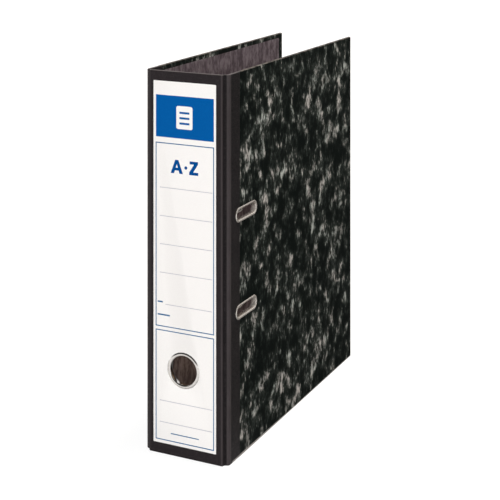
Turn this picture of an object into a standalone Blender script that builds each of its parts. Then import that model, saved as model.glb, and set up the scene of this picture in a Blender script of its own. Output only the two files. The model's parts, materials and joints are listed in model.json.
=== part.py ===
# Lever arch file for A4 paper: board case with cloth hinges, and a two-arch lever mechanism.
# Frame: +Z up, the spine faces -Y, the front cover is on +X and the mechanism hangs on the -X cover.
# Lengths inside the functions are millimetres; MM turns them into metres when a mesh is made.
# Two helper directions are used: "run" is the distance back from the spine face, and "rise" is the
# height above the inner face of the back cover. In the lever, "u" runs from its pivot to its tab.
import math

import bmesh
import bpy
from mathutils import Vector
from mathutils.geometry import tessellate_polygon

MM = 0.001
SHARP = math.radians(35.0)

# case
HEIGHT = 318.0
COVER_HALF = 38.5          # outer face of each cover, from the middle of the spine
FACE_Y = -141.6            # outer face of the spine
FORE_Y = 142.5             # fore edge of the covers
SKIN = 0.3                 # cloth and cover paper
GAP = 0.05
BOARD = 2.2
LINING = 0.2
TURN_IN = 13.0
CLOTH_RUN = 24.0           # the cover cloth ends this far back from the spine face
BOARD_START = 5.0          # near edge of a cover board
LINING_START = 8.0         # near edge of a cover lining
LINING_INSET = 4.4         # margin above and below a lining
LINING_FORE_INSET = 9.0    # margin at the fore-edge
SPINE_BOARD_HALF = 33.5
HINGE_X = 35.6
HINGE_RUN = 3.6

# spine furniture
LABEL_X = -0.55
LABEL_WIDTH = 57.9
LABEL_LOW = 9.2
LABEL_TOP = 309.5
RING_X = -1.4
RING_Z = 72.2
RING_OUTER = 15.0
RING_INNER = 12.0

# slots in the front cover
SLOT_RUN = 36.6
SLOT_Z = (120.0, 200.0)
SLOT_STRAIGHT = 14.6       # half length of the straight sides
SLOT_INNER = 4.25
SLOT_OUTER = 6.15

# mechanism
HOLE_Z = (120.0, 200.0)    # the two paper holes, 80 mm apart
SHAFT_RUN = 16.6
SHAFT_RISE = 7.0
WIRE = 2.0                 # radius of the arch wire
ARCH_RADIUS = 20.0
POST_RUN = SHAFT_RUN + 2 * ARCH_RADIUS
POST_RADIUS = 2.5
MEET_RISE = 46.85          # height at which arch tips meet the posts
WEB_ARM = 22.0
WEB_RISE = 3.4
WEB_Z = (127.0, 142.0)
PIVOT_Z = 148.0
PIVOT_RISE = 16.1
LEVER_RUN = (29.7, 43.5)   # outer faces of the lever's two flanges
ROLLER_ARM = 14.30
ROLLER_START = math.radians(61.25)
ROLLER_RADIUS = 3.5
PLATE_RUN = (9.6, 66.4)
PLATE_Z = (91.0, 229.0)
PLATE_RISE = (0.05, 0.85)
STRAP_Z = ((147.0, 152.0), (190.5, 195.5))
BAR_RISE = (13.0, 17.6)
RIVETS = ((13.9, 97.5), (62.0, 97.5), (13.9, 222.5), (62.0, 222.5))
INNER_X = -(COVER_HALF - SKIN - GAP - BOARD - GAP - SKIN - GAP - LINING)

for old in list(bpy.data.objects):
    bpy.data.objects.remove(old, do_unlink=True)


# materials

def material(name, colour, metallic, roughness):
    mat = bpy.data.materials.new(name)
    mat.use_nodes = True
    shader = mat.node_tree.nodes["Principled BSDF"]
    shader.inputs["Base Color"].default_value = (*colour, 1.0)
    shader.inputs["Metallic"].default_value = metallic
    shader.inputs["Roughness"].default_value = roughness
    return mat


BOOK_CLOTH = material("book_cloth", (0.032, 0.027, 0.028), 0.0, 0.7)
MARBLED = material("marbled_paper", (0.04, 0.045, 0.045), 0.0, 0.6)
GREYBOARD = material("greyboard", (0.32, 0.29, 0.25), 0.0, 0.9)
LINER = material("lining_paper", (0.10, 0.08, 0.07), 0.0, 0.8)
LABEL = material("label_paper", (0.92, 0.91, 0.89), 0.0, 0.6)
NICKEL = material("nickel_plate", (0.75, 0.71, 0.66), 1.0, 0.22)
STEEL = material("bright_steel", (0.62, 0.61, 0.60), 1.0, 0.32)
BAR_BLACK = material("bar_plastic", (0.02, 0.02, 0.022), 0.0, 0.45)


# mesh helpers

def run_to_y(run):
    return FACE_Y + run


def rise_to_x(rise):
    return INNER_X + rise


def shade(mesh):
    mesh.shade_smooth()
    mesh.set_sharp_from_angle(angle=SHARP)


def make(name, verts, faces, mat, origin=(0.0, 0.0, 0.0)):
    mesh = bpy.data.meshes.new(name)
    shift = Vector(origin)
    mesh.from_pydata([(Vector(v) - shift) * MM for v in verts], [], faces)
    bm = bmesh.new()
    bm.from_mesh(mesh)
    bmesh.ops.remove_doubles(bm, verts=bm.verts, dist=1e-7)
    bmesh.ops.recalc_face_normals(bm, faces=bm.faces)
    bm.to_mesh(mesh)
    bm.free()
    shade(mesh)
    mesh.materials.append(mat)
    obj = bpy.data.objects.new(name, mesh)
    obj.location = shift * MM
    bpy.context.scene.collection.objects.link(obj)
    return obj


def prism(outline, holes, low, high, axis):
    """Extrudes a flat outline with holes along X, Y or Z, from low to high."""
    loops = [outline] + list(holes)
    flat = [p for loop in loops for p in loop]
    triangles = tessellate_polygon([[Vector((p[0], p[1], 0.0)) for p in loop] for loop in loops])
    place = {
        "X": lambda p, d: (d, p[0], p[1]),
        "Y": lambda p, d: (p[0], d, p[1]),
        "Z": lambda p, d: (p[0], p[1], d),
    }[axis]
    verts = [place(p, low) for p in flat] + [place(p, high) for p in flat]
    count = len(flat)
    faces = [tuple(t) for t in triangles] + [tuple(count + i for i in reversed(t)) for t in triangles]
    start = 0
    for loop in loops:
        for i in range(len(loop)):
            a, b = start + i, start + (i + 1) % len(loop)
            faces.append((a, b, count + b, count + a))
        start += len(loop)
    return verts, faces


def box(x, y, z):
    return prism([(x[0], y[0]), (x[1], y[0]), (x[1], y[1]), (x[0], y[1])], [], z[0], z[1], "Z")


def circle(cx, cy, radius, count=32):
    turn = 2 * math.pi / count
    return [(cx + radius * math.cos(i * turn), cy + radius * math.sin(i * turn)) for i in range(count)]


def obround(cx, cy, half, radius, count=12):
    points = []
    for side in (1, -1):
        for i in range(count + 1):
            angle = math.pi * i / count - math.pi / 2 + (0 if side > 0 else math.pi)
            points.append((cx + side * half + radius * math.cos(angle), cy + radius * math.sin(angle)))
    return points


def rounded_rect(a, b, c, d, radius, count=4):
    points = []
    for cx, cy, start in (
        (b - radius, c + radius, -90), (b - radius, d - radius, 0),
        (a + radius, d - radius, 90), (a + radius, c + radius, 180),
    ):
        for i in range(count + 1):
            angle = math.radians(start + 90 * i / count)
            points.append((cx + radius * math.cos(angle), cy + radius * math.sin(angle)))
    return points


def ring_of(profile, path, place):
    """Sweeps a closed profile of (outward, along) points round a closed path of (p, q, nx, ny)."""
    verts, faces = [], []
    for p, q, nx, ny in path:
        for out, along in profile:
            verts.append(place(p + nx * out, q + ny * out, along))
    rows, cols = len(path), len(profile)
    for i in range(rows):
        for j in range(cols):
            a, b = i * cols + j, i * cols + (j + 1) % cols
            c, d = (i + 1) % rows * cols + (j + 1) % cols, (i + 1) % rows * cols + j
            faces.append((a, b, c, d))
    return verts, faces


def round_path(cx, cy, count=40):
    turn = 2 * math.pi / count
    return [(cx, cy, math.cos(i * turn), math.sin(i * turn)) for i in range(count)]


def slot_path(cx, cy, half, count=12):
    path = []
    for side in (1, -1):
        for i in range(count + 1):
            angle = math.pi * i / count - math.pi / 2 + (0 if side > 0 else math.pi)
            path.append((cx + side * half, cy, math.cos(angle), math.sin(angle)))
    return path


def turned(profile, cx, cy, place, count=24):
    """Revolves an open profile of (radius, along) points that starts and ends on the axis."""
    verts = [place(cx, cy, profile[0][1])]
    turn = 2 * math.pi / count
    inner = profile[1:-1]
    for radius, along in inner:
        for i in range(count):
            verts.append(place(cx + radius * math.cos(i * turn), cy + radius * math.sin(i * turn), along))
    verts.append(place(cx, cy, profile[-1][1]))
    faces = []
    last = len(verts) - 1
    for i in range(count):
        j = (i + 1) % count
        faces.append((0, 1 + j, 1 + i))
        for k in range(len(inner) - 1):
            base = 1 + k * count
            faces.append((base + i, base + j, base + count + j, base + count + i))
        base = 1 + (len(inner) - 1) * count
        faces.append((base + i, base + j, last))
    return verts, faces


def along_x(p, q, along):
    return (along, p, q)


def along_y(p, q, along):
    return (p, along, q)


def rounded(corners, radii, steps=5):
    """Replaces each inner corner of a polyline by an arc of the radius given for it."""
    points = [Vector(corners[0])]
    for i in range(1, len(corners) - 1):
        before, here, after = (Vector(corners[k]) for k in (i - 1, i, i + 1))
        into, out = (before - here).normalized(), (after - here).normalized()
        half = into.angle(out) / 2
        reach = radii[i - 1] / math.tan(half)
        centre = here + (into + out).normalized() * (radii[i - 1] / math.sin(half))
        first, last = here + into * reach, here + out * reach
        sweep = (first - centre).angle(last - centre)
        for k in range(steps + 1):
            t = k / steps
            a = math.sin((1 - t) * sweep) / math.sin(sweep)
            b = math.sin(t * sweep) / math.sin(sweep)
            points.append(centre + (first - centre) * a + (last - centre) * b)
    points.append(Vector(corners[-1]))
    return points


def tube(points, radii, sides=10):
    """Sweeps a round section along points, carrying the section without twist."""
    points = [Vector(p) for p in points]
    directions = []
    for i in range(len(points)):
        before = points[max(i - 1, 0)]
        after = points[min(i + 1, len(points) - 1)]
        directions.append((after - before).normalized())
    helper = Vector((0.0, 0.0, 1.0)) if abs(directions[0].z) < 0.9 else Vector((0.0, 1.0, 0.0))
    across = directions[0].cross(helper).normalized()
    verts = []
    for i, point in enumerate(points):
        across = (across - directions[i] * across.dot(directions[i])).normalized()
        up = directions[i].cross(across)
        for k in range(sides):
            angle = 2 * math.pi * k / sides
            verts.append(point + (across * math.cos(angle) + up * math.sin(angle)) * radii[i])
    faces = []
    for i in range(len(points) - 1):
        for k in range(sides):
            a, b = i * sides + k, i * sides + (k + 1) % sides
            faces.append((a, b, b + sides, a + sides))
    faces.append(tuple(range(sides)))
    faces.append(tuple(range(len(verts) - 1, len(verts) - 1 - sides, -1)))
    return verts, faces


def combine(target, others, operation):
    """Adds or cuts other solids into the target, then drops them."""
    for other in others:
        step = target.modifiers.new("join", "BOOLEAN")
        step.operation = operation
        step.solver = "EXACT"
        step.object = other
    view = bpy.context.evaluated_depsgraph_get()
    result = bpy.data.meshes.new_from_object(target.evaluated_get(view))
    target.modifiers.clear()
    old = target.data
    target.data = result
    bpy.data.meshes.remove(old)
    result.name = target.name
    while len(result.materials) > 1:
        result.materials.pop()
    for face in result.polygons:
        face.material_index = 0
    shade(result)
    for other in others:
        bpy.data.objects.remove(other, do_unlink=True)
    return target


def helper_solid(shape, origin):
    return make("helper", shape[0], shape[1], GREYBOARD, origin)


# case

def slot_holes(extra):
    return [obround(run_to_y(SLOT_RUN), z, SLOT_STRAIGHT, SLOT_INNER + extra) for z in SLOT_Z]


def rivet_holes(test):
    return [circle(run_to_y(run), z, 1.9, 20) for run, z in RIVETS if test(run)]


def cover_board(name, side, holes):
    low = COVER_HALF - SKIN - GAP - BOARD
    faces = sorted((side * low, side * (low + BOARD)))
    edge = SKIN + GAP
    outline = [
        (run_to_y(BOARD_START), edge), (FORE_Y - edge, edge),
        (FORE_Y - edge, HEIGHT - edge), (run_to_y(BOARD_START), HEIGHT - edge),
    ]
    verts, tris = prism(outline, holes, faces[0], faces[1], "X")
    return make(name, verts, tris, GREYBOARD, (side * HINGE_X, run_to_y(HINGE_RUN), 0.0))


def wrap(name, side, y_range, open_end, mat, holes, near_wall):
    """Cloth or paper over one side of a cover board, folded in at the top, bottom and free edge."""
    outer = COVER_HALF
    inner = COVER_HALF - 2 * SKIN - 2 * GAP - BOARD
    origin = (side * HINGE_X, run_to_y(HINGE_RUN), 0.0)

    def span(a, b):
        return tuple(sorted((side * a, side * b)))

    shell = make(name, *box(span(inner, outer), y_range, (0.0, HEIGHT)), mat, origin)
    hollow_y = (y_range[0] + (SKIN if near_wall else -2.0), y_range[1] + (2.0 if near_wall else -SKIN))
    if open_end == "near":
        window_y = (y_range[0] - 4.0, y_range[1] - TURN_IN)
    else:
        window_y = (y_range[0] - 4.0, y_range[1] + 4.0)
    cutters = [
        helper_solid(box(span(inner + SKIN, outer - SKIN), hollow_y, (SKIN, HEIGHT - SKIN)), origin),
        helper_solid(box(span(inner - 1.0, inner + SKIN + 0.5), window_y,
                         (TURN_IN, HEIGHT - TURN_IN)), origin),
    ]
    for hole in holes:
        cutters.append(helper_solid(prism(hole, [], *span(inner - 2.0, outer + 2.0), "X"), origin))
    return combine(shell, cutters, "DIFFERENCE")


def cover_lining(name, side, holes):
    inner = abs(INNER_X)
    faces = sorted((side * inner, side * (inner + LINING)))
    outline = [
        (run_to_y(LINING_START), LINING_INSET), (FORE_Y - LINING_FORE_INSET, LINING_INSET),
        (FORE_Y - LINING_FORE_INSET, HEIGHT - LINING_INSET), (run_to_y(LINING_START), HEIGHT - LINING_INSET),
    ]
    verts, tris = prism(outline, holes, faces[0], faces[1], "X")
    return make(name, verts, tris, LINER, (side * HINGE_X, run_to_y(HINGE_RUN), 0.0))


def back_cover():
    everywhere = rivet_holes(lambda run: True)
    cover_board("back_board", -1, everywhere)
    cover_lining("back_lining", -1, everywhere)
    wrap("back_cover_paper", -1, (run_to_y(CLOTH_RUN), FORE_Y), "near", MARBLED,
         rivet_holes(lambda run: run > CLOTH_RUN), False)
    wrap("back_cloth_strip", -1, (run_to_y(4.65), run_to_y(CLOTH_RUN - 0.05)), "far", BOOK_CLOTH,
         rivet_holes(lambda run: run < CLOTH_RUN), True)


def front_cover():
    cover_board("front_board", 1, slot_holes(0.7))
    cover_lining("front_lining", 1, slot_holes(0.7))
    wrap("front_cover_paper", 1, (run_to_y(CLOTH_RUN), FORE_Y), "near", MARBLED, slot_holes(0.7), False)
    wrap("front_cloth_strip", 1, (run_to_y(4.65), run_to_y(CLOTH_RUN - 0.05)), "far", BOOK_CLOTH,
         slot_holes(0.7), True)


def slot_eyelets():
    face = COVER_HALF + GAP
    back = abs(INNER_X) - GAP
    flange = SLOT_OUTER
    wall = SLOT_INNER + 0.4
    profile = [
        (SLOT_INNER, face + 0.35), (SLOT_INNER + 0.45, face + 0.65), (flange - 0.6, face + 0.65),
        (flange, face + 0.3), (flange, face), (wall, face), (wall, back - 0.65),
        (wall + 0.6, back - 0.7), (wall + 0.6, back - 0.95), (SLOT_INNER, back - 0.95),
    ]
    collar = [
        (wall + 0.3, back), (wall + 0.3, back - 0.6), (flange - 0.3, back - 0.6),
        (flange, back - 0.3), (flange, back),
    ]
    for label, z in zip(("lower", "upper"), SLOT_Z):
        path = slot_path(run_to_y(SLOT_RUN), z, SLOT_STRAIGHT)
        origin = (COVER_HALF, run_to_y(SLOT_RUN), z)
        make(label + "_slot_eyelet", *ring_of(profile, path, along_x), NICKEL, origin)
        make(label + "_slot_collar", *ring_of(collar, path, along_x), NICKEL, origin)


def spine():
    origin = (-HINGE_X, run_to_y(HINGE_RUN), 0.0)
    hole = circle(RING_X, RING_Z, RING_INNER + 0.8, 40)
    edge = SKIN + GAP
    front = FACE_Y + SKIN + GAP
    outline = [
        (-SPINE_BOARD_HALF, edge), (SPINE_BOARD_HALF, edge),
        (SPINE_BOARD_HALF, HEIGHT - edge), (-SPINE_BOARD_HALF, HEIGHT - edge),
    ]
    make("spine_board", *prism(outline, [hole], front, front + BOARD, "Y"), GREYBOARD, origin)
    back = front + BOARD + GAP
    width = (-34.4, 34.4)
    cloth = make("spine_cloth", *box(width, (FACE_Y, back + SKIN), (0.0, HEIGHT)), BOOK_CLOTH, origin)
    wide = (-50.0, 50.0)
    combine(cloth, [
        helper_solid(box(wide, (FACE_Y + SKIN, back), (SKIN, HEIGHT - SKIN)), origin),
        helper_solid(box(wide, (back - 1.0, back + 3.0), (TURN_IN, HEIGHT - TURN_IN)), origin),
        helper_solid(prism(hole, [], FACE_Y - 2.0, back + 3.0, "Y"), origin),
    ], "DIFFERENCE")
    inside = back + SKIN + GAP
    outline = [
        (-33.2, LINING_INSET), (33.2, LINING_INSET),
        (33.2, HEIGHT - LINING_INSET), (-33.2, HEIGHT - LINING_INSET),
    ]
    make("spine_lining", *prism(outline, [hole], inside, inside + LINING, "Y"), LINER, origin)
    outline = [
        (LABEL_X - LABEL_WIDTH / 2, LABEL_LOW), (LABEL_X + LABEL_WIDTH / 2, LABEL_LOW),
        (LABEL_X + LABEL_WIDTH / 2, LABEL_TOP), (LABEL_X - LABEL_WIDTH / 2, LABEL_TOP),
    ]
    make("spine_label", *prism(outline, [hole], FACE_Y - 0.2, FACE_Y - 0.05, "Y"), LABEL, origin)
    seat = inside + LINING + GAP
    face = FACE_Y - 0.25
    wall = RING_INNER + 0.5
    ring = [
        (RING_INNER, face - 0.1), (RING_INNER + 0.5, face - 0.5), (RING_INNER + 1.4, face - 0.65),
        (RING_OUTER - 0.7, face - 0.6), (RING_OUTER, face - 0.2), (RING_OUTER, face), (wall, face),
        (wall, seat + 0.7), (wall + 0.8, seat + 0.75), (wall + 0.8, seat + 1.05), (RING_INNER, seat + 1.05),
    ]
    collar = [
        (wall + 0.3, seat), (wall + 0.3, seat + 0.65), (RING_OUTER - 0.4, seat + 0.65),
        (RING_OUTER, seat + 0.3), (RING_OUTER, seat),
    ]
    path = round_path(RING_X, RING_Z)
    centre = (RING_X, FACE_Y, RING_Z)
    make("finger_ring", *ring_of(ring, path, along_y), NICKEL, centre)
    make("finger_ring_collar", *ring_of(collar, path, along_y), NICKEL, centre)


# mechanism

def side_outline(points):
    """Turns (rise, z) points of a side view into (x, z) points."""
    return [(rise_to_x(rise), z) for rise, z in points]


def base_plate():
    origin = (rise_to_x(PLATE_RISE[0]), run_to_y(SLOT_RUN), 160.0)
    low, high = (rise_to_x(r) for r in PLATE_RISE)
    outline = rounded_rect(run_to_y(PLATE_RUN[0]), run_to_y(PLATE_RUN[1]), PLATE_Z[0], PLATE_Z[1], 6.0)
    holes = rivet_holes(lambda run: True)
    holes += [circle(run_to_y(POST_RUN), z, 2.0, 20) for z in HOLE_Z]
    plate = make("base_plate", *prism(outline, holes, low, high, "X"), STEEL, origin)
    parts = []
    for edge in (PLATE_RUN[0], PLATE_RUN[1] - 0.8):
        parts.append(helper_solid(
            box((low + 0.3, rise_to_x(2.6)), (run_to_y(edge), run_to_y(edge + 0.8)),
                (PLATE_Z[0] + 7.0, PLATE_Z[1] - 7.0)), origin))
    for z in STRAP_Z:
        outer, inner = 3.2, 2.3
        turns = [math.pi * k / 12 for k in range(13)]
        over = [(SHAFT_RISE + outer * math.sin(t), -outer * math.cos(t)) for t in turns]
        under = [(SHAFT_RISE + inner * math.sin(t), inner * math.cos(t)) for t in turns]
        loop = [(0.4, -outer)] + over + [(0.4, outer), (0.4, inner)] + under + [(0.4, -inner)]
        outline = [(rise_to_x(up), run_to_y(SHAFT_RUN + along)) for up, along in loop]
        parts.append(helper_solid(prism(outline, [], z[0], z[1], "Z"), origin))
    for run in (28.3, 43.9):
        top = [(PIVOT_RISE + 3.2 * math.cos(math.radians(a)), PIVOT_Z + 3.2 * math.sin(math.radians(a)))
               for a in range(-90, 91, 15)]
        loop = [(0.4, PIVOT_Z - 3.2)] + top + [(3.0, PIVOT_Z + 6.0), (0.4, PIVOT_Z + 7.0)]
        hole = circle(rise_to_x(PIVOT_RISE), PIVOT_Z, 1.8, 20)
        parts.append(helper_solid(
            prism(side_outline(loop), [hole], run_to_y(run), run_to_y(run + 1.0), "Y"), origin))
    combine(plate, parts, "UNION")


def posts():
    for label, z in zip(("lower", "upper"), HOLE_Z):
        centre = (rise_to_x(0.0), run_to_y(POST_RUN), z)
        profile = [
            (0.0, 0.3), (1.7, 0.3), (1.7, 0.9), (4.2, 0.9), (4.2, 1.7), (3.2, 2.3), (POST_RADIUS, 2.5),
            (POST_RADIUS, MEET_RISE - 0.45), (2.15, MEET_RISE - 0.1), (1.8, MEET_RISE - 0.1),
            (0.0, MEET_RISE - 1.0),
        ]
        profile = [(radius, rise_to_x(up)) for radius, up in profile]
        make(label + "_post", *turned(profile, run_to_y(POST_RUN), z, along_x), NICKEL, centre)


def mechanism_rivets():
    outside = -(COVER_HALF + GAP)
    for number, (run, z) in enumerate(RIVETS, 1):
        profile = [
            (0.0, outside - 0.65), (2.2, outside - 0.62), (3.4, outside - 0.4), (4.0, outside - 0.05),
            (4.0, outside), (1.6, outside), (1.6, rise_to_x(0.9)), (3.0, rise_to_x(0.9)),
            (3.0, rise_to_x(1.2)), (2.2, rise_to_x(1.6)), (0.0, rise_to_x(1.6)),
        ]
        make("mechanism_rivet_%d" % number, *turned(profile, run_to_y(run), z, along_x), NICKEL,
             (outside, run_to_y(run), z))


def pin(name, rise, z, radius, head, runs, origin):
    profile = [
        (0.0, runs[0]), (head - 0.3, runs[0]), (head, runs[0] + 0.25), (head, runs[0] + 0.7),
        (radius, runs[0] + 0.7), (radius, runs[1] - 0.7), (head, runs[1] - 0.7),
        (head, runs[1] - 0.25), (head - 0.3, runs[1]), (0.0, runs[1]),
    ]
    profile = [(r, run_to_y(a)) for r, a in profile]
    return make(name, *turned(profile, rise_to_x(rise), z, along_y, 20), NICKEL, origin)


def arch_bow():
    """One bent wire: tip, arch, leg, shaft with the cranked web, leg, arch, tip."""
    tilt = math.asin((WEB_RISE - SHAFT_RISE) / WEB_ARM)
    web_run = SHAFT_RUN + WEB_ARM * math.cos(tilt)

    def point(rise, run, z):
        return Vector((rise_to_x(rise), run_to_y(run), z))

    def arch(z):
        points = []
        for k in range(17):
            angle = math.pi * k / 16
            points.append(point(MEET_RISE + ARCH_RADIUS * math.sin(angle),
                                SHAFT_RUN + ARCH_RADIUS + ARCH_RADIUS * math.cos(angle), z))
        return points

    corners = [
        point(MEET_RISE, SHAFT_RUN, HOLE_Z[0]), point(SHAFT_RISE, SHAFT_RUN, HOLE_Z[0]),
        point(SHAFT_RISE, SHAFT_RUN, WEB_Z[0]), point(WEB_RISE, web_run, WEB_Z[0]),
        point(WEB_RISE, web_run, WEB_Z[1]), point(SHAFT_RISE, SHAFT_RUN, WEB_Z[1]),
        point(SHAFT_RISE, SHAFT_RUN, HOLE_Z[1]), point(MEET_RISE, SHAFT_RUN, HOLE_Z[1]),
    ]
    middle = rounded(corners, [3.2] * 6)
    first, last = arch(HOLE_Z[0]), arch(HOLE_Z[1])[::-1]
    points = first[:-1] + middle + last[1:]
    tip_low = [point(MEET_RISE - 0.75, POST_RUN, HOLE_Z[0]), point(MEET_RISE + 0.04, POST_RUN, HOLE_Z[0])]
    tip_high = [point(MEET_RISE - 0.75, POST_RUN, HOLE_Z[1]), point(MEET_RISE + 0.04, POST_RUN, HOLE_Z[1])]
    points[0] = point(MEET_RISE + 0.06, POST_RUN, HOLE_Z[0])
    points[-1] = point(MEET_RISE + 0.06, POST_RUN, HOLE_Z[1])
    radii = [WIRE] * len(points)
    points = tip_low + points + tip_high[::-1]
    radii = [0.05, 1.6] + radii + [1.6, 0.05]
    make("arch_bow", *tube(points, radii, 12), NICKEL, point(SHAFT_RISE, SHAFT_RUN, 160.0))


def bow_spring():
    """Torsion spring round the shaft: one leg on the base plate, the other behind the upper arch."""
    coil, turns, low, high = 3.55, 7, 172.5, 187.0

    def point(rise, run, z):
        return Vector((rise_to_x(rise), run_to_y(run), z))

    points = [point(1.6, 31.0, low), point(SHAFT_RISE - coil, 24.0, low)]
    steps = turns * 14 + 11
    sweep = 2 * math.pi * (turns + 0.75)
    for k in range(steps):
        t = k / steps
        angle = -math.pi / 2 - sweep * t
        points.append(point(SHAFT_RISE + coil * math.sin(angle), SHAFT_RUN + coil * math.cos(angle),
                            low + (high - low) * t))
    points += [point(SHAFT_RISE + 0.4, SHAFT_RUN + coil, high), point(17.0, 19.6, high + 0.6),
               point(18.4, 19.45, high + 2.2), point(18.6, 19.45, HOLE_Z[1] + 4.0)]
    make("bow_spring", *tube(points, [0.6] * len(points), 6), STEEL, point(SHAFT_RISE, SHAFT_RUN, 160.0))


def lever_half_width(reach):
    """Half width of the lever at a distance from its pivot: narrow neck, wide thumb tab."""
    knots = ((0.0, 6.9), (18.0, 6.9), (30.0, 5.6), (48.0, 5.2), (60.0, 6.6), (80.0, 7.6))
    for (a, wa), (b, wb) in zip(knots, knots[1:]):
        if reach <= b:
            t = (reach - a) / (b - a)
            t = t * t * (3 - 2 * t)
            return wa + (wb - wa) * t
    return knots[-1][1]


def lever():
    """Channel pressing: top sheet, two flanges with ears for the pivot and the roller, curled tab."""
    origin = (rise_to_x(PIVOT_RISE), run_to_y(36.6), PIVOT_Z)
    roller_u = ROLLER_ARM * math.sin(ROLLER_START)
    roller_v = -ROLLER_ARM * math.cos(ROLLER_START)

    def place(u, v):
        return (rise_to_x(PIVOT_RISE + v), PIVOT_Z - u)

    def arc(cu, cv, radius, start, end, steps):
        return [(cu + radius * math.cos(math.radians(start + (end - start) * k / steps)),
                 cv + radius * math.sin(math.radians(start + (end - start) * k / steps)))
                for k in range(steps + 1)]

    flange = arc(0.0, 0.0, 2.6, 90, 270, 10) + [(7.2, -2.6), (9.4, -4.6)]
    flange += arc(roller_u, roller_v, 2.1, 170, 350, 8)
    flange += [(17.5, -4.4), (22.0, -3.4), (28.0, -3.6), (36.0, -3.8), (44.0, -3.8), (52.0, -3.4),
               (58.0, -2.4), (63.0, -0.6), (63.0, 0.3), (58.0, 0.3), (52.0, 0.3), (44.0, 0.3), (36.0, 0.3),
               (28.0, 0.3), (22.0, 0.3), (16.0, 0.3), (6.0, 0.3), (4.4, 1.6)]
    holes = [circle(*place(0.0, 0.0), 1.8, 20), circle(*place(roller_u, roller_v), 1.3, 16)]
    outline = [place(u, v) for u, v in flange]
    near, far = (run_to_y(r) for r in LEVER_RUN)
    top = [(5.4, 0.2), (16.0, 0.2), (22.0, 0.2), (28.0, 0.2), (36.0, 0.2), (44.0, 0.2), (52.0, 0.2),
           (58.0, 0.2), (63.0, 0.2), (67.0, 0.7), (70.0, 1.9), (72.0, 3.6), (71.4, 4.2), (69.4, 2.7),
           (66.6, 1.6), (63.0, 1.0), (58.0, 1.0), (52.0, 1.0), (44.0, 1.0), (36.0, 1.0), (28.0, 1.0),
           (22.0, 1.0), (16.0, 1.0), (5.4, 1.0)]
    body = make("lever", *prism([place(u, v) for u, v in top], [], near, far, "Y"), NICKEL, origin)
    parts = [
        helper_solid(prism(outline, holes, near, near + 1.0, "Y"), origin),
        helper_solid(prism(outline, holes, far - 1.0, far, "Y"), origin),
    ]
    combine(body, parts, "UNION")
    for vert in body.data.vertices:
        vert.co.y *= lever_half_width(-vert.co.z / MM) / lever_half_width(0.0)
    roller = (rise_to_x(PIVOT_RISE + roller_v), run_to_y(36.6), PIVOT_Z - roller_u)
    pin("roller_pin", PIVOT_RISE + roller_v, PIVOT_Z - roller_u, 1.0, 1.9,
        (LEVER_RUN[0] - 0.75, LEVER_RUN[1] + 0.75), origin)
    profile = [
        (1.3, near + 1.3), (ROLLER_RADIUS - 0.3, near + 1.3), (ROLLER_RADIUS, near + 1.6),
        (ROLLER_RADIUS, far - 1.6), (ROLLER_RADIUS - 0.3, far - 1.3), (1.3, far - 1.3),
    ]
    make("pressure_roller", *ring_of(profile, round_path(roller[0], roller[2], 32), along_y), STEEL, roller)
    pin("lever_pivot_pin", PIVOT_RISE, PIVOT_Z, 1.5, 2.5, (27.5, 45.7), origin)


def compressor():
    origin = (rise_to_x(BAR_RISE[0]), run_to_y(POST_RUN), 160.0)
    low, high = (rise_to_x(r) for r in BAR_RISE)
    outline = rounded_rect(run_to_y(50.4), run_to_y(62.8), 106.0, 214.0, 4.0)
    holes = [circle(run_to_y(POST_RUN), z, POST_RADIUS + 0.3, 24) for z in HOLE_Z]
    bar = make("compressor_bar", *prism(outline, holes, low, high, "X"), BAR_BLACK, origin)
    groove = box((rise_to_x(BAR_RISE[1] - 1.4), high + 2.0), (run_to_y(53.2), run_to_y(60.0)), (130.0, 204.0))
    combine(bar, [helper_solid(groove, origin)], "DIFFERENCE")
    low = rise_to_x(BAR_RISE[1] + 0.05)
    slot = [(p[1], p[0]) for p in obround(118.5, run_to_y(POST_RUN), 1.9, POST_RADIUS + 0.3, 8)]
    outline = rounded_rect(run_to_y(51.6), run_to_y(61.6), 109.0, 129.0, 2.0)
    lock = make("compressor_lock", *prism(outline, [slot], low, low + 1.0, "X"), STEEL, origin)
    tab = box((low + 0.4, low + 4.0), (run_to_y(52.6), run_to_y(60.6)), (127.8, 128.9))
    combine(lock, [helper_solid(tab, origin)], "UNION")


back_cover()
front_cover()
slot_eyelets()
spine()
base_plate()
posts()
mechanism_rivets()
arch_bow()
bow_spring()
lever()
compressor()
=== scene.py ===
"""Looks for a lever arch file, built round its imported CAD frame.

Lengths are millimetres in the frame's axes: X across the spine (front cover at +X), Y back from the spine,
Z up. "run" is the distance back from the spine's outer face and "rise" the height above the back lining.
"""
import json
import math

import bmesh
import bpy
import numpy as np
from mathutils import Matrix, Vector, noise
from mathutils.geometry import tessellate_polygon


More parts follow.
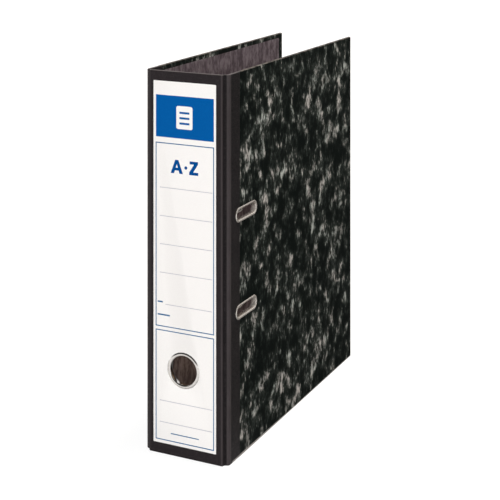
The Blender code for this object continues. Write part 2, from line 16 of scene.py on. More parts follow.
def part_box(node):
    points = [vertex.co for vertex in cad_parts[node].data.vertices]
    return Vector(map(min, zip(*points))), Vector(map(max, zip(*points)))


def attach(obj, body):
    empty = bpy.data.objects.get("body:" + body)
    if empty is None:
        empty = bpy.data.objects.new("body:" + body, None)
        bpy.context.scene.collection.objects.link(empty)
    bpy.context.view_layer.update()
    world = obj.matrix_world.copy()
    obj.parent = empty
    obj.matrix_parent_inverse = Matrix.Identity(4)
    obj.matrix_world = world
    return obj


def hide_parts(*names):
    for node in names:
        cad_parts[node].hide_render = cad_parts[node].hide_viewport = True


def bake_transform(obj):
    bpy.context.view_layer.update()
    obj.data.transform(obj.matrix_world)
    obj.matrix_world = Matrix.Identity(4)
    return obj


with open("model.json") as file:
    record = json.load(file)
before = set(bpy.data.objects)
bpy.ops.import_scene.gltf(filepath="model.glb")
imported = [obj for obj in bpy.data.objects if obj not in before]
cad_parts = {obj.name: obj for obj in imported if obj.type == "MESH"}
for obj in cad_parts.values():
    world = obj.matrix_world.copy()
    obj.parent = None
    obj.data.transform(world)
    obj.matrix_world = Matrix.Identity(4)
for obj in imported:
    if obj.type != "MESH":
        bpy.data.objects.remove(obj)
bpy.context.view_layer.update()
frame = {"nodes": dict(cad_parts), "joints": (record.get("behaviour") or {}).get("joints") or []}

MM = 0.001
JOINTS = {joint["name"]: joint for joint in frame["joints"]}


def node_box(node):
    low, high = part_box(node)
    return low / MM, high / MM


def node_middle(node):
    low, high = node_box(node)
    return (low + high) / 2


def joint_place(name):
    return Vector(JOINTS[name]["pos_m"]) / MM


# sizes read from the frame
CLOTH_LOW, CLOTH_HIGH = node_box("spine_cloth")
PAPER_LOW, PAPER_HIGH = node_box("front_cover_paper")
FACE = CLOTH_LOW.y
TOP = CLOTH_HIGH.z
OUTER = PAPER_HIGH.x
INNER = PAPER_LOW.x
FORE = PAPER_HIGH.y
CLOTH_END = PAPER_LOW.y
LINING_X = node_box("back_lining")[1].x
SHAFT = joint_place("arch_hinge")
PIVOT = joint_place("lever_hinge")
ROLLER = joint_place("roller_spin")

# thicknesses and radii
SKIN = 0.3
CLOTH = 0.28
TURN_IN = 13.0
COVER_ROUND = 2.3
SPINE_ROUND = 1.1
SEAM_X = 18.0
WIRE = 2.0
PAIR = ("lower", "upper")
SLOT_HALF = 14.6
SLOT_BORE = 4.25
RING_BORE = 12.0
RING_SEAT = 12.8
SHARP = math.radians(32)


# mesh helpers

def placed(name, data):
    obj = bpy.data.objects.new(name, data)
    bpy.context.scene.collection.objects.link(obj)
    return obj


def recalc(mesh):
    bm = bmesh.new()
    bm.from_mesh(mesh)
    bmesh.ops.remove_doubles(bm, verts=bm.verts, dist=1e-7)
    bmesh.ops.recalc_face_normals(bm, faces=bm.faces)
    bm.to_mesh(mesh)
    bm.free()


def solid(name, shape):
    mesh = bpy.data.meshes.new(name)
    mesh.from_pydata([tuple(Vector(v) * MM) for v in shape[0]], [], shape[1])
    recalc(mesh)
    return placed(name, mesh)


def combine(target, others, operation):
    for other in others:
        step = target.modifiers.new("join", "BOOLEAN")
        step.operation = operation
        step.solver = "EXACT"
        step.object = other
    view = bpy.context.evaluated_depsgraph_get()
    result = bpy.data.meshes.new_from_object(target.evaluated_get(view))
    target.modifiers.clear()
    target.data = result
    for other in others:
        bpy.data.objects.remove(other, do_unlink=True)
    return target


def dress(obj, mat, nodes=()):
    """Gives a finished mesh its material and smooth shading, and hides the CAD nodes it stands for."""
    obj.data.materials.clear()
    obj.data.materials.append(mat)
    for face in obj.data.polygons:
        face.material_index = 0
    obj.data.shade_smooth()
    obj.data.set_sharp_from_angle(angle=SHARP)
    if nodes:
        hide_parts(*nodes)
    return obj


def piece(name, shape, mat, body, nodes=()):
    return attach(dress(solid(name, shape), mat, nodes), body)


AXES = {
    "X": lambda p, q, d: (d, p, q),
    "Y": lambda p, q, d: (p, d, q),
    "Z": lambda p, q, d: (p, q, d),
}


def wound(loop, anticlockwise):
    area = sum(a[0] * b[1] - b[0] * a[1] for a, b in zip(loop, loop[1:] + loop[:1]))
    return loop if (area > 0) == anticlockwise else loop[::-1]


def inset(loop, amount):
    """Moves a loop sideways to its left by an amount, with mitred corners."""
    moved = []
    count = len(loop)
    for i in range(count):
        here = Vector(loop[i])
        back = (here - Vector(loop[i - 1])).normalized()
        ahead = (Vector(loop[(i + 1) % count]) - here).normalized()
        left = Vector((-back.y - ahead.y, back.x + ahead.x))
        scale = 2 / max(left.length_squared, 0.7)
        moved.append(here + left * scale * amount)
    return moved


def slab(outline, holes, low, high, axis, edge=0.2, steps=3):
    """A plate with rounded edges: an outline with holes, extruded along an axis."""
    loops = [wound(list(outline), True)] + [wound(list(h), False) for h in holes]
    angles = [math.pi / 2 * k / steps for k in range(steps + 1)]
    rows = [(edge * (1 - math.sin(a)), low + edge * (1 - math.cos(a))) for a in angles]
    rows += [(back, low + high - depth) for back, depth in rows[::-1]]
    place = AXES[axis]
    verts, faces, caps = [], [], []
    for back, depth in rows:
        shifted = [inset(loop, back) for loop in loops]
        caps.append(shifted)
        verts += [place(p[0], p[1], depth) for loop in shifted for p in loop]
    count = sum(len(loop) for loop in loops)
    for row in range(len(rows) - 1):
        start = row * count
        for loop in loops:
            size = len(loop)
            for i in range(size):
                a, b = start + i, start + (i + 1) % size
                faces.append((a, b, b + count, a + count))
            start += size
    last = (len(rows) - 1) * count
    for caps_at, first in ((caps[0], 0), (caps[-1], last)):
        flat = [[Vector((p[0], p[1], 0)) for p in loop] for loop in caps_at]
        faces += [tuple(first + i for i in t) for t in tessellate_polygon(flat)]
    return verts, faces


def block(x, y, z):
    outline = [(x[0], y[0]), (x[1], y[0]), (x[1], y[1]), (x[0], y[1])]
    return slab(outline, [], z[0], z[1], "Z", 1e-4, 1)


def circle(cx, cy, radius, count=48):
    turn = 2 * math.pi / count
    return [(cx + radius * math.cos(i * turn), cy + radius * math.sin(i * turn)) for i in range(count)]


def slot_loop(cx, cy, half, radius):
    """A slot with round ends, and the path of its end centres with the outward directions."""
    path = []
    count = 20
    for side in (1, -1):
        for i in range(count + 1):
            angle = math.pi * i / count - math.pi / 2 + (0 if side > 0 else math.pi)
            path.append((cx + side * half, cy, math.cos(angle), math.sin(angle)))
    return [(x + nx * radius, y + ny * radius) for x, y, nx, ny in path], path


def corner_rect(a, b, c, d, radius, count=6):
    points = []
    for cx, cy, start in (
        (b - radius, c + radius, -90), (b - radius, d - radius, 0),
        (a + radius, d - radius, 90), (a + radius, c + radius, 180),
    ):
        for i in range(count + 1):
            angle = math.radians(start + 90 * i / count)
            points.append((cx + radius * math.cos(angle), cy + radius * math.sin(angle)))
    return points


def arc(cx, cy, radius, start, end, steps):
    points = []
    for k in range(steps + 1):
        angle = math.radians(start + (end - start) * k / steps)
        points.append((cx + radius * math.cos(angle), cy + radius * math.sin(angle)))
    return points


def ring_of(profile, path, axis):
    """Sweeps a closed (outward, along) profile round a closed path of (p, q, outward p, outward q)."""
    place = AXES[axis]
    verts = [place(p + nx * out, q + ny * out, along) for p, q, nx, ny in path for out, along in profile]
    rows, cols = len(path), len(profile)
    faces = [(i * cols + j, i * cols + (j + 1) % cols, (i + 1) % rows * cols + (j + 1) % cols,
              (i + 1) % rows * cols + j) for i in range(rows) for j in range(cols)]
    return verts, faces


def round_path(cx, cy, count=96):
    turn = 2 * math.pi / count
    return [(cx, cy, math.cos(i * turn), math.sin(i * turn)) for i in range(count)]


def turned(profile, cx, cy, axis, count=48):
    """Revolves a (radius, along) profile whose two ends lie on the axis."""
    place = AXES[axis]
    turn = 2 * math.pi / count
    verts = [place(cx, cy, profile[0][1])]
    rows = profile[1:-1]
    for radius, along in rows:
        verts += [place(cx + radius * math.cos(i * turn), cy + radius * math.sin(i * turn), along)
                  for i in range(count)]
    verts.append(place(cx, cy, profile[-1][1]))
    last = len(verts) - 1
    faces = []
    for i in range(count):
        j = (i + 1) % count
        faces.append((0, 1 + j, 1 + i))
        for k in range(len(rows) - 1):
            base = 1 + k * count
            faces.append((base + i, base + j, base + count + j, base + count + i))
        base = 1 + (len(rows) - 1) * count
        faces.append((base + i, base + j, last))
    return verts, faces


def fillet(corners, radii, steps=8):
    """A polyline whose inner corners are replaced by arcs."""
    points = [Vector(corners[0])]
    for i in range(1, len(corners) - 1):
        before, here, after = (Vector(corners[k]) for k in (i - 1, i, i + 1))
        into, out = (before - here).normalized(), (after - here).normalized()
        half = into.angle(out) / 2
        reach = radii[i - 1] / math.tan(half)
        centre = here + (into + out).normalized() * (radii[i - 1] / math.sin(half))
        first, last = here + into * reach, here + out * reach
        sweep = (first - centre).angle(last - centre)
        for k in range(steps + 1):
            t = k / steps
            a = math.sin((1 - t) * sweep) / math.sin(sweep)
            b = math.sin(t * sweep) / math.sin(sweep)
            points.append(centre + (first - centre) * a + (last - centre) * b)
    points.append(Vector(corners[-1]))
    return points


def tube(points, radii, sides=20):
    points = [Vector(p) for p in points]
    directions = [(points[min(i + 1, len(points) - 1)] - points[max(i - 1, 0)]).normalized()
                  for i in range(len(points))]
    helper = Vector((0, 0, 1)) if abs(directions[0].z) < 0.9 else Vector((0, 1, 0))
    across = directions[0].cross(helper).normalized()
    verts = []
    for i, point in enumerate(points):
        across = (across - directions[i] * across.dot(directions[i])).normalized()
        up = directions[i].cross(across)
        for k in range(sides):
            angle = 2 * math.pi * k / sides
            verts.append(point + (across * math.cos(angle) + up * math.sin(angle)) * radii[i])
    faces = []
    for i in range(len(points) - 1):
        a, b = i * sides, (i + 1) * sides
        faces += [(a + k, a + (k + 1) % sides, b + (k + 1) % sides, b + k) for k in range(sides)]
    faces.append(tuple(range(sides)))
    faces.append(tuple(range(len(verts) - 1, len(verts) - 1 - sides, -1)))
    return verts, faces


def thick_sheet(grid, thickness):
    """Closes a grid of points into a sheet that is thick on the side its normals point away from."""
    along = np.gradient(grid, axis=0)
    up = np.gradient(grid, axis=1)
    normal = np.cross(along, up)
    normal /= np.maximum(np.linalg.norm(normal, axis=2, keepdims=True), 1e-9)
    rows, cols = grid.shape[:2]
    far = grid - normal * thickness
    verts = [tuple(p) for side in (grid, far) for p in side.reshape(-1, 3)]
    half = rows * cols
    faces = []
    for i in range(rows - 1):
        for j in range(cols - 1):
            a, b, c, d = i * cols + j, (i + 1) * cols + j, (i + 1) * cols + j + 1, i * cols + j + 1
            faces.append((a, b, c, d))
            faces.append((half + a, half + d, half + c, half + b))
    for i in range(rows - 1):
        for j in (0, cols - 1):
            a, b = i * cols + j, (i + 1) * cols + j
            faces.append((a, b, half + b, half + a))
    for j in range(cols - 1):
        for i in (0, rows - 1):
            a, b = i * cols + j, i * cols + j + 1
            faces.append((a, b, half + b, half + a))
    return verts, faces


# materials

class Tree:
    """A short way to write a node material in millimetres of the frame."""

    def __init__(self, name):
        self.mat = bpy.data.materials.new(name)
        self.mat.use_nodes = True
        self.tree = self.mat.node_tree
        self.shader = self.tree.nodes["Principled BSDF"]
        place = self.tree.nodes.new("ShaderNodeTexCoord")
        self.place = self.scaled(place.outputs["Object"], (1000, 1000, 1000))

    def put(self, socket, value):
        if isinstance(value, bpy.types.NodeSocket):
            self.tree.links.new(value, socket)
        elif isinstance(value, tuple) and len(value) == 3 and socket.type == "RGBA":
            socket.default_value = (*value, 1.0)
        else:
            socket.default_value = value

    def add(self, kind, out=0, settings=(), **inputs):
        node = self.tree.nodes.new(kind)
        for key, value in dict(settings).items():
            setattr(node, key, value)
        for key, value in inputs.items():
            numbered = key[0] == "i" and key[1:].isdigit()
            self.put(node.inputs[int(key[1:]) if numbered else key], value)
        return node.outputs[out]

    def scaled(self, vector, scale):
        return self.add("ShaderNodeMapping", Vector=vector, Scale=scale)

    def noise(self, scale, detail, rough=0.55, bend=0.0):
        return self.add("ShaderNodeTexNoise", i0=self.scaled(self.place, scale), Scale=1.0, Detail=detail,
                        Roughness=rough, Distortion=bend)

    def ramp(self, value, low, high, out_low=0.0, out_high=1.0):
        return self.add("ShaderNodeMapRange", Value=value, i1=low, i2=high, i3=out_low, i4=out_high,
                        settings={"interpolation_type": "SMOOTHSTEP"})

    def calc(self, operation, a, b=0.0):
        return self.add("ShaderNodeMath", i0=a, i1=b, settings={"operation": operation})

    def times(self, a, b):
        return self.calc("MULTIPLY", a, b)

    def mix(self, factor, a, b):
        node = self.tree.nodes.new("ShaderNodeMix")
        node.data_type = "RGBA"
        for socket, value in ((node.inputs[0], factor), (node.inputs[6], a), (node.inputs[7], b)):
            self.put(socket, value)
        return node.outputs[2]

    def bump(self, height, strength, distance):
        return self.add("ShaderNodeBump", Strength=strength, Distance=distance * MM, Height=height)

    def finish(self, **inputs):
        for key, value in inputs.items():
            self.put(self.shader.inputs[key.replace("_", " ")], value)
        return self.mat


def srgb(red, green, blue):
    return tuple(c / 255 / 12.92 if c <= 10 else ((c / 255 + 0.055) / 1.055) ** 2.4
                 for c in (red, green, blue))


def marbled_paper():
    """Black cover paper with clusters of pale upright flecks, paler on its edges (partly rubbed wear, partly
    painted highlight), and with a painted highlight along the foot.
    """
    t = Tree("marbled_cover_paper")
    regions = t.noise((0.024, 0.024, 0.026), 3.0, 0.5, 0.3)
    clumps = t.noise((0.085, 0.085, 0.075), 5.0, 0.55, 0.2)
    specks = t.noise((0.27, 0.27, 0.19), 5.0, 0.60, 0.3)
    streaks = t.noise((0.62, 0.62, 0.16), 4.0, 0.60, 0.2)
    height = clumps
    for layer, share in ((regions, 0.55), (specks, 0.54), (streaks, 0.60)):
        height = t.calc("ADD", height, t.times(layer, share))
    low = t.ramp(height, 1.24, 1.54)
    flecks = t.ramp(height, 1.415, 1.665)
    tint = t.ramp(t.noise((0.05, 0.05, 0.05), 2.0), 0.42, 0.58)
    light = t.mix(tint, srgb(194, 199, 193), srgb(211, 206, 201))
    colour = t.mix(flecks, t.mix(low, srgb(13, 19, 17), srgb(60, 66, 62)), light)
    y, z = (t.add("ShaderNodeSeparateXYZ", part, Vector=t.place) for part in (1, 2))
    # Paler top, foot and fore edges: partly rubbed wear of the folded paper, partly a painted highlight where
    # the folded edges catch the light.
    ends = t.ramp(t.calc("ABSOLUTE", t.calc("SUBTRACT", z, TOP / 2)), TOP / 2 - 0.7, TOP / 2 - 0.2)
    edge = t.calc("MAXIMUM", ends, t.ramp(y, FORE - 0.7, FORE - 0.2))
    pale_edges = t.times(edge, t.ramp(specks, 0.40, 0.60, 0.2, 0.8))
    colour = t.mix(pale_edges, colour, srgb(120, 114, 110))
    # Painted highlight: a pale band along the foot of the cover, standing for light thrown up from the floor
    # onto the bottom edge; taller near the spine.
    foot = t.ramp(t.calc("ADD", z, t.ramp(y, FACE + 20.0, FACE + 150.0, 0.0, 1.0)), 2.0, 2.4, 1.0, 0.0)
    colour = t.mix(t.times(foot, 0.85), colour, srgb(182, 178, 174))
    grain = t.noise((2.2, 2.2, 2.2), 5.0, 0.6)
    rough = t.ramp(grain, 0.3, 0.7, 0.50, 0.66)
    return t.finish(Base_Color=colour, Roughness=rough, Normal=t.bump(grain, 0.18, 0.12),
                    Specular_IOR_Level=0.05)


def book_cloth():
    """Black book cloth: a fine two-way thread with random tone, painted lighter on the spine face, with
    painted highlights on the rounded edges, along the top and foot folds and in a pale band at the foot of
    the covers.
    """
    t = Tree("book_cloth")
    warp = t.noise((3.4, 3.4, 0.35), 2.0, 0.5)
    weft = t.noise((0.35, 0.35, 3.4), 2.0, 0.5)
    thread = t.calc("MAXIMUM", warp, weft)
    x, y, z = (t.add("ShaderNodeSeparateXYZ", part, Vector=t.place) for part in range(3))
    across, back = t.calc("ABSOLUTE", x), t.calc("SUBTRACT", y, FACE)
    # Painted light: the cloth on the spine face is painted lighter than on the covers, standing for the
    # stronger light falling on the spine face.
    spine = t.ramp(back, 0.9, 3.0, 1.0, 0.0)
    # Painted highlights on the rounded cover edge beside the hinge groove and on the rounded edge of the
    # spine board.
    nose = t.times(t.ramp(across, 35.8, 36.4), t.ramp(back, 6.4, 8.2, 1.0, 0.0))
    spine_edge_highlight = t.times(t.ramp(across, 32.3, 33.0), t.ramp(back, 0.7, 1.5, 1.0, 0.0))
    # Painted highlight along the top and foot folds of the cloth.
    fold_highlight = t.ramp(t.calc("ABSOLUTE", t.calc("SUBTRACT", z, TOP / 2)), TOP / 2 - 0.6, TOP / 2 - 0.15)
    pale_edges = t.calc("MAXIMUM", nose, t.times(spine_edge_highlight, 0.8))
    patchy = t.ramp(t.noise((0.12, 0.12, 0.05), 5.0, 0.6), 0.30, 0.60, 0.75, 1.0)
    wear = t.ramp(t.noise((0.05, 0.05, 0.03), 5.0, 0.65), 0.40, 0.68)
    base = t.mix(wear, srgb(22, 20, 21), srgb(30, 27, 28))
    # Painted light in the next three mixes: the lighter spine face, the highlights on the rounded edges and
    # the highlights on the folds.
    base = t.mix(t.times(spine, 0.8), base, srgb(41, 36, 38))
    base = t.mix(t.times(pale_edges, patchy), base, srgb(70, 65, 66))
    base = t.mix(t.times(fold_highlight, patchy), base, srgb(100, 96, 97))
    # Painted highlight: a pale band at the foot of the cloth on the covers, standing for light thrown up from
    # the floor.
    foot = t.times(t.ramp(z, 1.8, 2.2, 1.0, 0.0), t.ramp(back, 8.0, 10.5, 0.0, 0.85))
    base = t.mix(foot, base, srgb(182, 178, 174))
    colour = t.mix(t.times(t.ramp(thread, 0.52, 0.72), 0.6), base, srgb(56, 50, 52))
    return t.finish(Base_Color=colour, Roughness=t.ramp(thread, 0.4, 0.7, 0.55, 0.42),
                    Normal=t.bump(thread, 0.35, 0.12), Sheen_Weight=0.02, Sheen_Roughness=0.5,
                    Specular_IOR_Level=0.10)


def lining_paper():
    """Purple-grey lining with soft, paler, slightly upright mottling."""
    t = Tree("lining_paper")
    patches = t.noise((0.06, 0.06, 0.04), 4.0, 0.55, 0.2)
    mottle = t.noise((0.17, 0.17, 0.09), 5.0, 0.60, 0.2)
    fine = t.noise((0.9, 0.9, 0.30), 4.0, 0.6)
    height = t.calc("ADD", t.times(patches, 0.5), t.calc("ADD", mottle, t.times(fine, 0.5)))
    colour = t.mix(t.ramp(height, 0.86, 1.18), srgb(86, 75, 80), srgb(134, 122, 127))
    grain = t.noise((2.5, 2.5, 2.5), 4.0, 0.6)
    return t.finish(Base_Color=colour, Roughness=0.72, Normal=t.bump(grain, 0.15, 0.1),
                    Specular_IOR_Level=0.2)


def greyboard():
    t = Tree("greyboard")
    fibres = t.noise((1.6, 0.5, 1.6), 5.0, 0.7)
    colour = t.mix(t.ramp(fibres, 0.35, 0.65), srgb(128, 120, 110), srgb(158, 150, 138))
    return t.finish(Base_Color=colour, Roughness=0.92, Normal=t.bump(fibres, 0.4, 0.2))


def label_paper():
    t = Tree("label_paper")
    fibres = t.noise((1.2, 1.2, 1.2), 5.0, 0.65)
    colour = t.mix(t.ramp(fibres, 0.3, 0.7), srgb(247, 244, 242), srgb(251, 249, 247))
    return t.finish(Base_Color=colour, Roughness=t.ramp(fibres, 0.3, 0.7, 0.5, 0.6),
                    Normal=t.bump(fibres, 0.08, 0.06), Specular_IOR_Level=0.01)


def ink(name, colour, darker):
    t = Tree(name)
    cover = t.noise((1.5, 1.5, 1.5), 4.0, 0.6)
    return t.finish(Base_Color=t.mix(t.ramp(cover, 0.35, 0.65), darker, colour), Roughness=0.48,
                    Normal=t.bump(cover, 0.06, 0.05), Specular_IOR_Level=0.05)


def plated(name, colour, rough, scratch, metal=1.0):
    """Bright plated metal with fine hairlines and a little haze."""
    t = Tree(name)
    haze = t.noise((0.5, 0.5, 0.5), 5.0, 0.6)
    hairs = t.noise((0.6, 6.0, 6.0), 3.0, 0.6, 0.3)
    tint = t.mix(t.ramp(haze, 0.35, 0.65), colour, tuple(c * 0.9 for c in colour))
    marks = t.calc("ADD", haze, t.times(hairs, 0.5))
    return t.finish(Base_Color=tint, Metallic=metal, Normal=t.bump(hairs, 0.05, 0.05),
                    Roughness=t.ramp(marks, 0.5, 1.0, rough, rough + scratch))


def moulded_plastic():
    t = Tree("moulded_plastic")
    grain = t.noise((3.0, 3.0, 3.0), 3.0, 0.5)
    return t.finish(Base_Color=t.mix(t.ramp(grain, 0.3, 0.7), srgb(24, 24, 25), srgb(34, 34, 36)),
                    Roughness=t.ramp(grain, 0.3, 0.7, 0.38, 0.52), Normal=t.bump(grain, 0.2, 0.1))


MARBLED = marbled_paper()
BOOK_CLOTH = book_cloth()
LINER = lining_paper()
GREYBOARD = greyboard()
LABEL = label_paper()
BLUE = ink("blue_ink", srgb(0, 92, 166), srgb(0, 86, 158))
DEEP_BLUE = ink("deep_blue_ink", srgb(0, 78, 148), srgb(0, 70, 138))
LINE_BLUE = ink("line_ink", srgb(44, 104, 150), srgb(36, 94, 140))
LINE_GREY = ink("rule_ink", srgb(200, 198, 206), srgb(192, 190, 199))
NICKEL = plated("nickel_plate", (0.78, 0.745, 0.70), 0.10, 0.14)
POLISHED = plated("polished_nickel", (0.84, 0.80, 0.76), 0.05, 0.07)
SATIN = plated("satin_nickel", (0.84, 0.79, 0.73), 0.16, 0.16, 0.7)
STEEL = plated("zinc_plated_steel", (0.66, 0.66, 0.65), 0.24, 0.16)
PLASTIC = moulded_plastic()


# case

def rise(value):
    return LINING_X + value


def run(value):
    return FACE + value


def slot_cutters(extra):
    cutters = []
    for label in PAIR:
        middle = node_middle(label + "_slot_eyelet")
        outline = slot_loop(middle.y, middle.z, SLOT_HALF, SLOT_BORE + extra)[0]
        cutters.append(solid("cutter", slab(outline, [], INNER - 3, OUTER + 3, "X", 1e-4, 1)))
    return cutters


def ring_cutter(radius):
    middle = node_middle("finger_ring")
    outline = circle(middle.x, middle.z, radius, 72)
    return solid("cutter", slab(outline, [], FACE - 3, FACE + 8, "Y", 1e-4, 1))


def board_outline(side):
    """A cover board seen from above, with its corners by the hinge rounded under the cloth."""
    near = run(5.0)
    outer, inner = OUTER - SKIN - 0.06, INNER + SKIN + 0.06
    rounding = COVER_ROUND - SKIN - 0.3
    points = arc(outer - rounding, near + rounding, rounding, -90, 0, 8)
    points += [(outer, FORE - 0.5), (inner, FORE - 0.5), (inner, near)]
    return [(side * x, y) for x, y in points]


def boards():
    front = solid("front_cover_board", slab(board_outline(1), [], 0.5, TOP - 0.5, "Z", 0.3))
    combine(front, slot_cutters(0.6), "DIFFERENCE")
    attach(dress(front, GREYBOARD, ["front_board"]), "front_cover")
    piece("back_cover_board", slab(board_outline(-1), [], 0.5, TOP - 0.5, "Z", 0.3), GREYBOARD,
          "back_cover", ["back_board"])
    low, high = node_box("spine_board")
    outline = corner_rect(low.x, high.x, low.y, high.y, 0.75)
    spine = solid("spine_panel_board", slab(outline, [], 0.5, TOP - 0.5, "Z", 0.3))
    combine(spine, [ring_cutter(RING_SEAT)], "DIFFERENCE")
    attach(dress(spine, GREYBOARD, ["spine_board"]), "spine")


def cover_paper(name, side, body, node):
    """Cover paper folded round three edges of a board, with turn-ins inside."""
    def shell(shrink, near, edge):
        box = block((INNER + shrink, OUTER - shrink), (near, FORE - shrink), (shrink, TOP - shrink))
        obj = solid(name, ([(side * x, y, z) for x, y, z in box[0]], box[1]))
        bm = bmesh.new()
        bm.from_mesh(obj.data)
        bmesh.ops.remove_doubles(bm, verts=bm.verts, dist=1e-5)
        bmesh.ops.dissolve_limit(bm, angle_limit=0.01, verts=bm.verts, edges=bm.edges)
        edges = [e for e in bm.edges if max(v.co.y for v in e.verts) > (near + 1) * MM]
        bmesh.ops.bevel(bm, geom=edges, offset=edge * MM, segments=5, profile=0.5, affect="EDGES")
        bm.to_mesh(obj.data)
        bm.free()
        return obj

    outer = shell(0.0, CLOTH_END, 0.8)
    inner = shell(SKIN, CLOTH_END - 3, 0.55)
    window = block(tuple(sorted((side * (INNER - 1), side * (INNER + SKIN + 0.2)))),
                   (CLOTH_END - 3, FORE - TURN_IN), (TURN_IN, TOP - TURN_IN))
    combine(outer, [inner, solid("cutter", window)], "DIFFERENCE")
    if side > 0:
        combine(outer, slot_cutters(0.55), "DIFFERENCE")
    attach(dress(outer, MARBLED, [node]), body)


def hinge_paths(start):
    """Outer and inner edges of the cloth seen from above, from the seam in the spine to the cover."""
    flat = 32.8
    straight = [(x, 0.0) for x in np.linspace(start, flat, 8)]
    edge = arc(flat, SPINE_ROUND, SPINE_ROUND, -90, -8, 8)[1:]
    groove = [(34.0, 1.75), (34.22, 2.4), (34.6, 3.0), (35.1, 3.42), (35.6, 3.62)]
    centre = (OUTER - 0.06 - COVER_ROUND, 3.75 + COVER_ROUND)
    nose = arc(centre[0], centre[1], COVER_ROUND, -90, 0, 12)
    cover = [(OUTER - 0.06, r) for r in np.linspace(centre[1] + 1.0, CLOTH_END - FACE + 2.0, 8)]
    outer = straight + edge + groove + nose + cover

    def between(a, b, count):
        return [(a[0] + (b[0] - a[0]) * k / count, a[1] + (b[1] - a[1]) * k / count)
                for k in range(1, count + 1)]

    inner = [(x, 2.9) for x, _ in straight] + between((flat, 2.9), (33.5, 3.0), len(edge))
    inner += between((33.5, 3.0), (35.0, 4.4), len(groove))
    inner += between((35.0, 4.4), (INNER, centre[1]), len(nose))
    inner += [(INNER, r) for _, r in cover]
    return np.array(outer), np.array(inner)


def fold_heights():
    """(how far inside, height) round the cloth: inside at the foot, up the outside, inside at the top."""
    fold = 0.8
    turn = [math.pi * k / 10 for k in range(11)]
    rows = [(1.0, TURN_IN), (1.0, TURN_IN / 2)]
    rows += [((1 + math.cos(a)) / 2, fold - fold * math.sin(a)) for a in turn]
    rows += [(0.0, z) for z in np.linspace(fold, TOP - fold, 96)[1:-1]]
    rows += [((1 - math.cos(a)) / 2, TOP - fold + fold * math.sin(a)) for a in turn]
    rows += [(1.0, TOP - TURN_IN / 2), (1.0, TOP - TURN_IN)]
    return rows


def hinge_cloth(name, side, start, cutters, nodes):
    """One length of book cloth from the middle of the spine, through the hinge groove, onto a cover."""
    outer, inner = hinge_paths(start)
    grid = np.zeros((len(outer), len(fold_heights()), 3))
    for j, (inside, height) in enumerate(fold_heights()):
        line = outer + (inner - outer) * inside
        for i, (x, back) in enumerate(line):
            slack = math.exp(-((outer[i][0] - 35.0) / 1.3) ** 2 - ((outer[i][1] - 3.0) / 1.6) ** 2)
            ripple = noise.noise(Vector((side * 3.0, 0.4 * i, height / 26.0)))
            ripple += 0.5 * noise.noise(Vector((side * 9.0, 0.7 * i, height / 9.0)))
            grid[i, j] = (side * x, FACE + back + 0.28 * slack * ripple * (1 - inside), height)
    if side < 0:
        grid = grid[::-1]
    cloth = solid(name, thick_sheet(grid, CLOTH))
    combine(cloth, cutters, "DIFFERENCE")
    dress(cloth, BOOK_CLOTH, nodes)
    ends = [(side * 33.9, run(1.2), 0.0), (side * 38.0, run(6.0), 0.0)]
    if side < 0:
        ends.reverse()
    Vector(ends[0]) * MM
    Vector(ends[1]) * MM
    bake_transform(cloth)


def hinge_lining(name, side):
    """Lining strip that bridges the inside of a hinge, glued to the spine and the cover."""
    line = fillet([(30.4, 3.30, 0), (34.55, 3.36, 0), (35.2, 5.4, 0), (35.22, 12.5, 0)], [1.4, 2.0], 7)
    path = [line[0]] + [line[0].lerp(line[1], k / 3) for k in (1, 2)] + line[1:]
    heights = np.linspace(4.2, TOP - 4.2, 60)
    grid = np.array([[(side * p.x, run(p.y), z) for z in heights] for p in path])
    if side > 0:
        grid = grid[::-1]
    strip = dress(solid(name, thick_sheet(grid, -0.2)), LINER)
    ends = [(side * 32.6, run(3.2), 0.0), (side * 35.3, run(8.0), 0.0)]
    if side < 0:
        ends.reverse()
    Vector(ends[0]) * MM
    Vector(ends[1]) * MM
    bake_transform(strip)


def linings():
    for node in ("back_lining", "front_lining", "spine_lining"):
        sheet = frame["nodes"][node].data
        sheet.materials.clear()
        sheet.materials.append(LINER)
    hinge_lining("front_hinge_lining", 1)
    hinge_lining("back_hinge_lining", -1)


def slot_rings():
    """Pressed nickel eyelets in the two slots: a rounded flange outside and a clinched collar inside."""
    for label in PAIR:
        low, high = node_box(label + "_slot_eyelet")
        middle = (low + high) / 2
        path = slot_loop(middle.y, middle.z, SLOT_HALF, SLOT_BORE)[1]
        bore, flange = SLOT_BORE, 6.15
        crown = arc(5.35, high.x - 1.1, 1.1, 180, 90, 8) + arc(5.45, high.x - 0.66, 0.66, 80, 0, 6)
        lip = [(flange, OUTER + 0.12), (flange - 0.1, OUTER + 0.03), (bore + 0.42, OUTER + 0.02),
               (bore + 0.42, low.x + 0.55), (bore + 0.9, low.x + 0.4), (bore + 0.95, low.x + 0.2),
               (bore + 0.55, low.x), (bore + 0.15, low.x + 0.12), (bore, low.x + 0.45)]
        profile = [(bore + max(0.0, out - bore - 0.05) if out < bore + 0.2 else out, along)
                   for out, along in crown] + lip
        piece(label + "_slot_ring", ring_of(profile, path, "X"), SATIN, "front_cover",
              [label + "_slot_eyelet"])
        back, front = node_box(label + "_slot_collar")
        washer = [(4.98, front.x), (4.98, back.x + 0.1), (5.1, back.x), (5.7, back.x), (6.0, back.x + 0.15),
                  (flange, front.x - 0.1), (flange, front.x)]
        piece(label + "_slot_washer", ring_of(washer, path, "X"), NICKEL, "front_cover",
              [label + "_slot_collar"])


